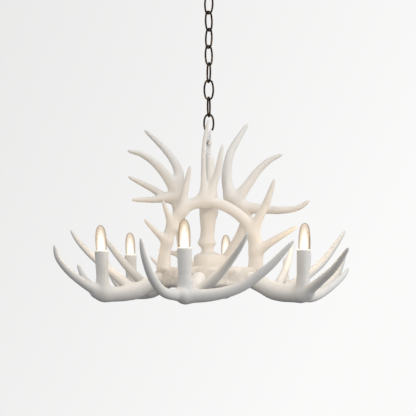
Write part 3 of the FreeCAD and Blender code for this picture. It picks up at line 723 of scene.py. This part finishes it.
# upper antlers: a leg, and tines as route, radius, flare at the root and radius at the tip
upper = {"legCount": 24, "furrow": 0.24}
upperAntlers = {
    "front_left": {
        "leg": [(-106, -40, 48), (-102, -42, 88), (-94, -45, 120), (-80, -48, 155), (-53, -49, 187),
                (-12, -48, 204)],
        "radii": (17.0, 12.8, 12.6, 12.6, 12.6, 13.2),
        "tines": [([(-96, -45, 107), (-114, -54, 121), (-130, -61, 137), (-148, -68, 156)],
                   8.5, 3.0, 2.2),
                  ([(-82, -48, 140), (-92, -54, 160), (-106, -66, 199)], 8.0, 3.0, 2.2),
                  ([(-62, -49, 178), (-59, -53, 208), (-51, -60, 245), (-43, -66, 280)],
                   9.5, 3.0, 2.2),
                  ([(-14, -47, 200), (-11, -50, 232), (-12, -54, 270), (-12, -58, 312),
                    (-9.5, -60, 342), (-5.5, -62, 367), (0, -64, 388)], 6.8, 7.0, 2.0),
                  ([(0, -46, 204), (9, -50, 234), (20, -54, 268), (32, -62, 330)],
                   10.0, 6.0, 2.2)]},
    "front_right": {
        "leg": [(110, -40, 48), (110, -42, 88), (102, -45, 130), (76, -47, 165), (44, -47, 187),
                (21, -46, 196), (-4, -47, 201)],
        "radii": (18.0, 15.5, 15.0, 13.5, 12.6, 12.4, 11.5),
        "tines": [([(100, -45, 130), (118, -54, 164), (135, -63, 200), (151, -74, 248)],
                   12.0, 4.0, 2.2),
                  ([(110, -43, 84), (133, -52, 98), (160, -63, 115), (203, -80, 140)],
                   10.5, 4.0, 2.2)]},
    "rear_left": {
        "leg": [(-57, 60, 48), (-66, 57, 118), (-74, 52, 179), (-75, 49, 224), (-76, 50, 258)],
        "radii": (18.0, 14.5, 14.5, 14.5, 12.5),
        "tines": [([(-76, 50, 246), (-75, 58, 285), (-93, 65, 323), (-123, 72, 358),
                    (-159, 80, 392)], 12.0, 3.0, 2.6),
                  ([(-75, 49, 226), (-100, 41, 267), (-131, 33, 303), (-163, 27, 324),
                    (-195, 22, 331)], 13.5, 3.0, 2.6),
                  ([(-76, 49, 216), (-110, 41, 223), (-139, 35, 241), (-194, 22, 268)],
                   10.5, 3.0, 2.4),
                  ([(-76, 48, 222), (-98, 38, 219), (-133, 22, 213), (-182, 2, 210)],
                   10.5, 3.0, 2.4),
                  ([(-58, 60, 70), (-78, 57, 81), (-122, 50, 92)], 6.5, 2.0, 2.2)]},
    "rear_right": {
        "leg": [(33, 64, 48), (58, 60, 90), (81, 56, 130), (92, 53, 167), (80, 49, 199),
                (54, 47, 224)],
        "radii": (18.0, 14.5, 14.0, 14.0, 15.0, 12.0),
        "tines": [([(52, 47, 222), (44, 54, 270), (48, 61, 311), (61, 68, 349), (97, 78, 408)],
                   13.5, 2.0, 2.6),
                  ([(66, 48, 212), (93, 42, 248), (119, 37, 283), (147, 32, 309),
                    (178, 28, 324)], 12.5, 4.0, 2.6),
                  ([(87, 46, 196), (125, 35, 192), (173, 21, 187), (214, 8, 191),
                    (240, 0, 207)], 12.5, 3.0, 2.6)]}}

for antlerName, antler in upperAntlers.items():
    legRadii = spread(antler["radii"], upper["legCount"])
    antlerLimbs = [Limb(row(spline(antler["leg"], upper["legCount"])), legRadii * mm)]
    antlerLimbs += [tineLimb(*antlerTine) for antlerTine in antler["tines"]]
    castForm("upperAntler_" + antlerName, antlerLimbs, upper["furrow"], "antlerResin",
             ("antler_" + antlerName,))
print("upper antlers cast")

# hub and column
hub = {"voxel": 2.2, "rounds": 12, "rimStart": 95, "rimBlend": 20, "swell": 3.4,
       "swellScale": (28, 28, 40), "grain": 0.6, "grainScale": (120, 120, 160), "sag": 2.2,
       "sagScale": (24, 24, 0), "sagMiddle": 0.3, "sagDepth": 12}
column = {          # height, radius and how far the middle stands to the right
    "profile": [(0, 43.0, 5), (2, 42.6, 5), (14, 42.0, 5), (23, 40.6, 4.6), (28.5, 36.6, 3.4),
                (31.5, 28, 1), (34, 19.8, -1.4), (38, 15.2, -2.8), (43, 14.2, -3.3), (49, 16.2, -3.9),
                (53, 19.4, -4.5), (58, 21.5, -4.6), (63, 20.0, -4.8), (69, 17.6, -4.6), (78, 16.8, -3.8),
                (90, 17.0, -2.8), (109, 18.8, -2.0), (120, 20.4, -1.0), (131, 22.4, 0.2),
                (150, 22.8, 0.4), (175, 21.0, 0.2), (196, 18.5, 0), (220, 16.2, 0), (240, 14.0, 0),
                (258, 12.6, 0), (267, 10.6, 0), (270, 7.4, 0)],
    "bore": 5.6, "sides": 56, "steps": 150, "swell": 0.9, "swellScale": (45, 45, 30), "calmTop": 20}


def rounded(node, name, voxel, rounds):
    # a finer copy of a node's own mesh with softened edges
    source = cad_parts[node]
    verts = [source.matrix_world @ v.co for v in source.data.vertices]
    piece = remeshed(name, verts, [tuple(f.vertices) for f in source.data.polygons], voxel * mm)
    writeSpots(piece.data, relax(readSpots(piece.data), neighbours(piece.data), rounds))
    return piece


def hubCasting():
    # the hub swells and sags like a casting
    piece = rounded("hub", "hubCasting", hub["voxel"], hub["rounds"])
    spots = readSpots(piece.data)
    reach = np.linalg.norm(spots[:, :2], axis=1)
    outer = np.clip((reach - hub["rimStart"] * mm) / (hub["rimBlend"] * mm), 0, 1)
    push = hub["swell"] * roughness(spots, hub["swellScale"])
    push += hub["grain"] * roughness(spots, hub["grainScale"])
    outward = np.stack([spots[:, 0] / reach, spots[:, 1] / reach, np.zeros(len(spots))], 1)
    spots = spots + outward * (push * outer * mm)[:, None]
    rim = outer * np.clip((spots[:, 2] - hubTop) / (hub["sagDepth"] * mm) + 1, 0, 1)
    spots[:, 2] += (roughness(spots, hub["sagScale"]) - hub["sagMiddle"]) * hub["sag"] * mm * rim
    writeSpots(piece.data, spots)
    dress(piece, "hubResin", "light", ("hub",))


def columnRing(height, radius, lean):
    angles = circle(column["sides"])
    return np.stack([lean + radius * np.cos(angles), radius * np.sin(angles),
                     np.full(column["sides"], height)], 1) * mm + [0, 0, hubTop]


def columnCasting():
    angles = circle(column["sides"])
    out = np.stack([np.cos(angles), np.sin(angles), angles * 0], 1)
    top = column["profile"][-1][0]
    rings = []
    for height, radius, lean in spline(column["profile"], column["steps"]):
        spots = columnRing(height, radius, lean)
        calm = min(1.0, (top - height) / column["calmTop"])
        push = roughness(spots, column["swellScale"]) * column["swell"] * mm * calm
        rings.append(spots + out * push[:, None])
    rings += [columnRing(top, column["bore"], 0), columnRing(0.0, column["bore"], 0)]
    newObject("columnCasting", *skinOf(rings, closed=True), "antlerResin", "light", ("column",),
              "white_resin")


hubCasting()
columnCasting()
print("hub and column cast")

# chain: bowed links, each turned by its own angle
chain = {"length": 50.5, "width": 26.0, "wire": 2.25, "endRadius": 8.5, "endSteps": 20, "bowSteps": 14,
         "sides": 16, "turns": [-30.0, 45.0, -48.0, 42.0, 110.0, 0.0, 75.0]}


def roundArc(centre, radius, first, last, steps):
    angles = np.linspace(first, last, steps, endpoint=False)
    return [(centre[0] + radius * math.cos(a), 0.0, centre[1] + radius * math.sin(a)) for a in angles]


def linkRoute():
    # two round ends joined by two wide bows that meet them without a corner
    half, wide = chain["length"] / 2 - chain["wire"], chain["width"] / 2 - chain["wire"]
    centre, slack = half - chain["endRadius"], wide - chain["endRadius"]
    offset = (centre ** 2 - slack ** 2) / (2 * slack)
    lean = math.atan2(centre, offset)
    points = []
    for turn, flip in ((0.0, 1), (math.pi, -1)):
        points += roundArc((0, flip * centre), chain["endRadius"], turn + lean, turn + math.pi - lean,
                           chain["endSteps"])
        points += roundArc((flip * offset, 0), offset + wide, turn + math.pi - lean, turn + math.pi + lean,
                           chain["bowSteps"])
    return np.array(points)


def closedWire(points, radius, sides):
    across = np.array([0.0, 1.0, 0.0])
    ways = unit(np.roll(points, -1, 0) - np.roll(points, 1, 0))
    rings = [point + radius * loopAround(circle(sides), across, np.cross(way, across))
             for point, way in zip(points, ways)]
    return skinOf(rings, closed=True)


def middleHeight(node):
    low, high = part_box(node)
    return (low.z + high.z) / 2


def chainLinks():
    wire, faces = closedWire(linkRoute(), chain["wire"], chain["sides"])
    for k, turn in enumerate(chain["turns"], 1):
        node = "chain_link_%d" % k
        verts = turnedAbout(wire * mm, math.radians(turn))
        verts[:, 2] += middleHeight(node)
        newObject("chainLink_%d" % k, verts, faces, "bronze", "link_%d" % k, (node,), "bronze")


chainLinks()
print("chain linked")

# hanger and ceiling parts
ring = {"length": 47.0, "width": 27.0, "wire": 2.25, "gapAngle": -58.0, "gapHalf": 8.0,
        "squareness": 0.88, "steps": 60, "sides": 18}
canopy = {"profile": [(0, 60), (-2, 60), (-4.5, 59.8), (-9, 57.5), (-16, 49.5), (-21, 34), (-24, 21.5),
                      (-25.6, 15.5), (-26, 13.5)], "wall": 1.4, "bore": 5.3, "steps": 40, "sides": 72}
softened = {          # node: piece, voxel, rounds of softening, finish, slot and body
    "hanger_strap": ("hangerStrap", 0.55, 2, "strapPaint", "white_paint", "light"),
    "hanger_screw": ("hangerScrew", 0.45, 3, "zinc", "zinc_steel", "light"),
    "hanger_nut": ("hangerNut", 0.45, 2, "zinc", "zinc_steel", "light"),
    "cap_nut": ("capNut", 0.6, 2, "zinc", "zinc_steel", "light"),
    "canopy_loop": ("canopyLoop", 0.6, 3, "bronze", "bronze", "ceiling_fixing")}


def squared(values):
    # fills out an oval towards a rounded box
    return np.sign(values) * np.abs(values) ** ring["squareness"]


def openRing():
    start = math.radians(ring["gapAngle"] + ring["gapHalf"])
    stop = math.radians(ring["gapAngle"] - ring["gapHalf"] + 360.0)
    turn = np.linspace(start, stop, ring["steps"])
    halfWidth, halfLength = (ring[side] / 2 - ring["wire"] for side in ("width", "length"))
    points = np.stack([halfWidth * squared(np.cos(turn)), turn * 0, halfLength * squared(np.sin(turn))], 1)
    rings = ringsAlong(points * mm + [0, 0, middleHeight("chain_open_ring")],
                       [ring["wire"] * mm] * len(points), ring["sides"])
    newObject("openRing", *skinOf(rings), "bronze", "open_ring", ("chain_open_ring",), "bronze")


def canopyShell():
    outside = spline([(height, radius, 0) for height, radius in canopy["profile"]], canopy["steps"])[:, :2]
    wall, foot = canopy["wall"], outside[-1][0]
    inside = [(min(h + wall, 0.0), r - wall) for h, r in outside[::-1]]
    hole = [(foot, canopy["bore"]), (foot + wall, canopy["bore"])]
    rings = turned([(h * mm, r * mm) for h, r in [*outside, *hole, *inside]], canopy["sides"],
                   (0, 0, 0), (0, 0, 1))
    newObject("canopyShell", *skinOf(rings, closed=True), "bronze", "ceiling_fixing", ("canopy",), "bronze")


openRing()
canopyShell()
for node, (name, voxel, rounds, finish, slot, body) in softened.items():
    dress(rounded(node, name, voxel, rounds), finish, body, (node,))
print("hanger and canopy made")

# lamps: a glass, a glow inside it and a light
bulb = {"profile": [(-20.0, 7.2), (-11.0, 9.8), (0.0, 11.8), (10.0, 12.6), (20.0, 12.8), (33.0, 12.5),
                    (45.0, 10.9), (51.0, 8.9), (55.5, 6.0), (57.5, 3.2), (58.0, 0.6)],
        "steps": 34, "sides": 32, "wall": 0.9, "tipRadius": 0.4, "innerTipRadius": 0.1,
        "glowInset": 1.3, "glowTipRadius": 0.2, "glowFrom": -3, "glowTo": 56.5, "glowSides": 28,
        "lightHeight": 30, "softness": 20, "power": 0.21, "colour": (1.0, 0.73, 0.42)}


def bulbGlass(name, profile, top, axis):
    # a closed wall, rounded off at the tip
    wall, innerTip = bulb["wall"] * mm, bulb["innerTipRadius"] * mm
    outer = [(h * mm, max(r, bulb["tipRadius"]) * mm) for h, r in profile]
    inner = [(h, max(r - wall, innerTip)) for h, r in outer[1:-1]][::-1]
    rings = turned(outer + [(outer[-1][0] - wall, innerTip)] + inner, bulb["sides"], top, axis)
    newObject("bulbGlass_" + name, *skinOf(rings, closed=True), "glass", "bulb_" + name,
              ("bulb_glass_" + name,), "lamp_glass")


def bulbGlow(name, profile, top, axis):
    inside = [(h * mm, max(r - bulb["glowInset"], bulb["glowTipRadius"]) * mm) for h, r in profile
              if bulb["glowFrom"] < h < bulb["glowTo"]]
    piece = newObject("bulbGlow_" + name, *skinOf(turned(inside, bulb["glowSides"], top, axis)), "glow",
                      "bulb_" + name, (), "lamp_glass")
    piece.visible_shadow = False


def lampLight(name, top, axis):
    place = Vector(top + axis * (bulb["lightHeight"] * mm))
    lamp = newLight("lampLight_" + name, "POINT", bulb["power"], bulb["colour"], place)
    lamp.data.shadow_soft_size = bulb["softness"] * mm
    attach(lamp, "bulb_" + name)


bulbCurve = spline([(h, r, 0) for h, r in bulb["profile"]], bulb["steps"])[:, :2]
for armName in arm["angles"]:
    rimMiddle, leaning = candleFrame(armName)
    bulbGlass(armName, bulbCurve, rimMiddle, leaning)
    bulbGlow(armName, bulbCurve, rimMiddle, leaning)
    lampLight(armName, rimMiddle, leaning)
print("lamps lit")

# CAD nodes that stay
kept = {
    "zinc": ["tie_rod", "tie_rod_washer", "arm_bolts", "antler_bolts", "ceiling_bracket", "canopy_nipple",
             "nipple_locknut", "hub_cover"],
    "capMetal": ["bulb_cap_" + name for name in arm["angles"]],
    "holder": ["lampholder_" + name for name in arm["angles"]],
    "terminal": ["terminal_block"]}
for finish, names in kept.items():
    for name in names:
        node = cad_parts[name]
        node.data.materials.clear()
        node.data.materials.append(finishes[finish])
print("kept parts painted")
